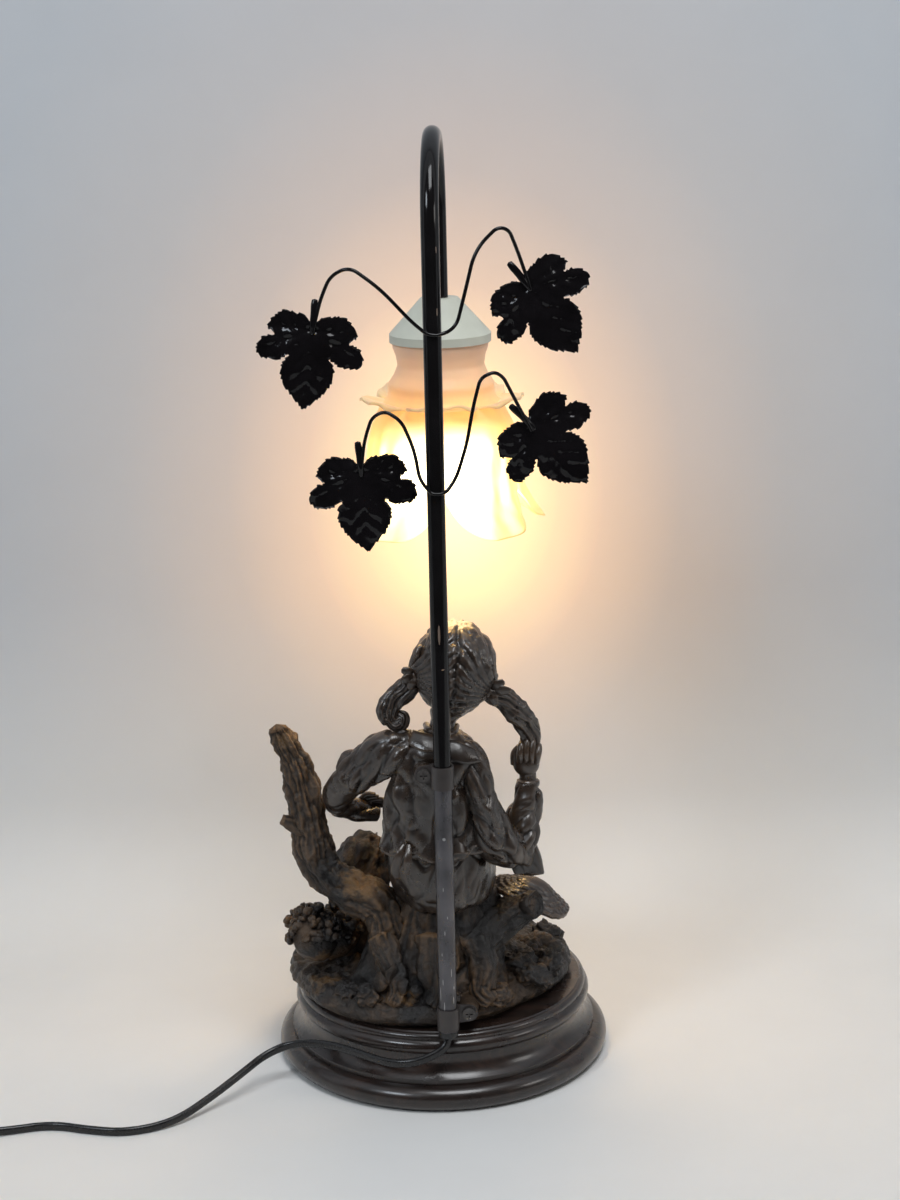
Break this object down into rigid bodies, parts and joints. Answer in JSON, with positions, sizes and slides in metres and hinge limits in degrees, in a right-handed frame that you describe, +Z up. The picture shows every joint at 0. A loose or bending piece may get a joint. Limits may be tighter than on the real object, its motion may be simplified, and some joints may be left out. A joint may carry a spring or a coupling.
{
  "type": "figural table lamp",
  "caption": "Table lamp with a seated girl figure on a turned plinth, a gooseneck arm with vine leaves on wires, a glass flower shade and a corded plug.",
  "frame": {"origin": "centre of the round plinth, at the underside of its felt pad, on the table", "axes": "+Z up; +Y the way the girl faces and the lamp arm reaches; +X to her right, so the cord leaves towards -X"},
  "size_m": [0.5394, 0.2425, 0.591],
  "materials": {
    "felt": "matt",
    "dark_wood": "satin",
    "steel": "satin",
    "bronze_cast": "satin",
    "grey_tube": "satin",
    "black_gloss": "gloss",
    "clip_metal": "satin",
    "black_plastic": "satin",
    "cream_paint": "satin",
    "white_plastic": "matt",
    "brass": "satin",
    "frosted_glass": "frosted",
    "lit_glass": "frosted",
    "nickel": "polished",
    "cord_black": "satin"
  },
  "bodies": {
    "lamp": {"felt_pad": "felt", "plinth": "dark_wood", "plinth_screws": "steel", "ground_casting": "bronze_cast", "log_seat": "bronze_cast", "leaf_mound": "bronze_cast", "tree_branch": "bronze_cast", "girl_body": "bronze_cast", "girl_head": "bronze_cast", "straw_hat": "bronze_cast", "left_arm": "bronze_cast", "right_arm": "bronze_cast", "left_hair_bunch": "bronze_cast", "right_hair_bunch": "bronze_cast", "lower_tube": "grey_tube", "gooseneck_tube": "black_gloss", "tube_rivet": "steel", "upper_clip": "clip_metal", "lower_clip": "clip_metal", "clip_screws": "clip_metal", "cord_bush": "black_plastic", "inner_flex": "black_plastic", "vine_wire_upper": "black_gloss", "vine_wire_lower": "black_gloss", "leaf_upper_left": "black_gloss", "leaf_upper_right": "black_gloss", "leaf_lower_left": "black_gloss", "leaf_lower_right": "black_gloss", "shade_cap": "cream_paint", "cap_lock_nut": "steel", "holder_shell": "white_plastic", "holder_insert": "white_plastic", "thread_sleeve": "brass", "centre_contact": "brass", "cord_lead": "cord_black", "cord_tail": "cord_black", "cord_coil": "cord_black", "cord_plug_end": "cord_black", "switch_base": "black_plastic", "switch_cover": "black_plastic", "switch_screws": "steel", "switch_terminals": "brass", "plug_body": "black_plastic", "plug_pins": "nickel"},
    "bulb": {"bulb_glass": "lit_glass", "bulb_base": "nickel"},
    "shade": {"shade_nut": "white_plastic", "glass_neck": "frosted_glass", "glass_bell": "frosted_glass", "glass_petals": "frosted_glass", "glass_frill": "frosted_glass"},
    "rocker": {"switch_rocker": "black_plastic"}
  },
  "joints": [
    {"name": "bulb_unscrew", "type": "slide", "parent": "lamp", "child": "bulb", "axis": [0, 0, -1], "range_m": [0, 0.018]},
    {"name": "shade_ring_lower", "type": "slide", "parent": "lamp", "child": "shade", "axis": [0, 0, -1], "range_m": [0, 0.007]},
    {"name": "switch_rock", "type": "hinge", "parent": "lamp", "child": "rocker", "pos_m": [-0.332, -0.125, 0.011], "axis": [0, -1, 0], "range_deg": [0, 14]}
  ]
}
